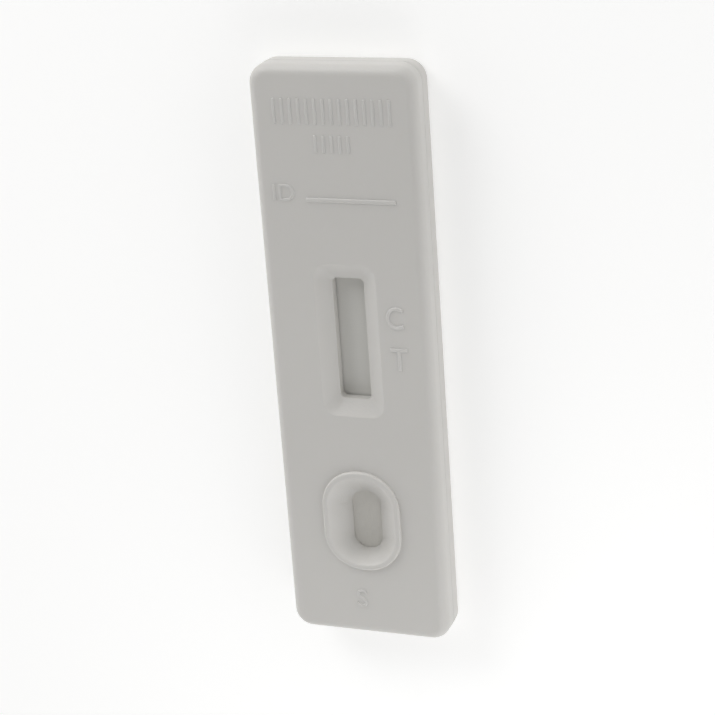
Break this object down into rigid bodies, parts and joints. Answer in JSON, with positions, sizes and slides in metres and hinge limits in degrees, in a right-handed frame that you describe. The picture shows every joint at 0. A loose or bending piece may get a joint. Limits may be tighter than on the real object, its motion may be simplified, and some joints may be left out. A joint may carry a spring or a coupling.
{
  "type": "lateral flow cassette",
  "caption": "Flat white plastic lateral flow cassette with a bevelled reading window and an oval sample well, pressed together over a test strip.",
  "frame": {"origin": "centre of the overall bounding box, at the flat underside that the cassette lies on", "axes": "+Y along the cassette from the sample well's end to the other end, +Z out of the face with the window, +X across"},
  "size_m": [0.0198, 0.07, 0.0052],
  "materials": {
    "housing_top": "white moulded polystyrene, satin",
    "housing_bottom": "white moulded polystyrene, satin",
    "backing_card": "white plastic card with adhesive",
    "membrane": "matt white nitrocellulose",
    "conjugate_pad": "glass fibre with dried pale red conjugate",
    "sample_pad": "off-white cellulose fibre",
    "absorbent_pad": "white cotton fibre"
  },
  "bodies": {
    "root": {"top_shell": "housing_top", "bottom_shell": "housing_bottom", "backing_card": "backing_card", "membrane": "membrane", "conjugate_pad": "conjugate_pad", "sample_pad": "sample_pad", "absorbent_pad": "absorbent_pad"}
  },
  "joints": []
}
